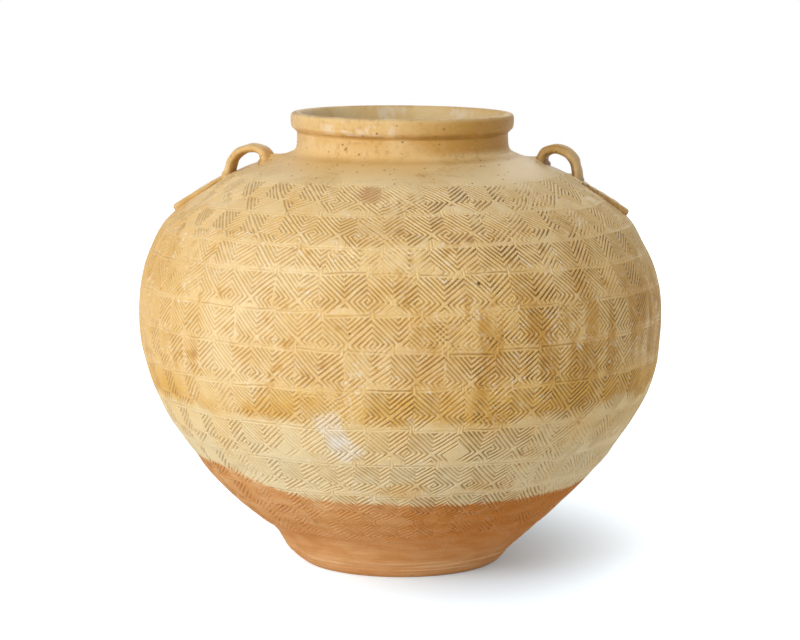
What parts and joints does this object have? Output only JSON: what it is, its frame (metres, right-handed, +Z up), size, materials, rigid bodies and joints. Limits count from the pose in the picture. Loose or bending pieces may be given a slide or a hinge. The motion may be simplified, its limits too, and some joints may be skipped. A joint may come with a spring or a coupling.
{
  "type": "two-handled globular storage jar",
  "caption": "Globular stoneware storage jar with a narrow foot, a short collar with a folded lip, and a loop handle on each side of the shoulder.",
  "frame": {"origin": "centre of the foot, on the surface that the jar stands on", "axes": "+Z up along the jar's axis, the two loop handles on the X axis, -Y towards the viewer"},
  "size_m": [0.3966, 0.3966, 0.341],
  "materials": {
    "ash_glaze": "straw to amber ash glaze, semi-gloss, runs and pools in the stamped lines",
    "bare_clay": "bare fired stoneware, orange brown, matt"
  },
  "bodies": {
    "root": {"floor_slab": "bare_clay", "foot_course": "bare_clay", "wall_course_1": "bare_clay", "wall_course_2": "bare_clay", "wall_course_3": "ash_glaze", "wall_course_4": "ash_glaze", "wall_course_5": "ash_glaze", "wall_course_6": "ash_glaze", "wall_course_7": "ash_glaze", "wall_course_8": "ash_glaze", "wall_course_9": "ash_glaze", "wall_course_10": "ash_glaze", "wall_course_11": "ash_glaze", "shoulder_course": "ash_glaze", "collar": "ash_glaze", "folded_lip": "ash_glaze", "left_loop": "ash_glaze", "left_strip": "ash_glaze", "right_loop": "ash_glaze", "right_strip": "ash_glaze"}
  },
  "joints": []
}
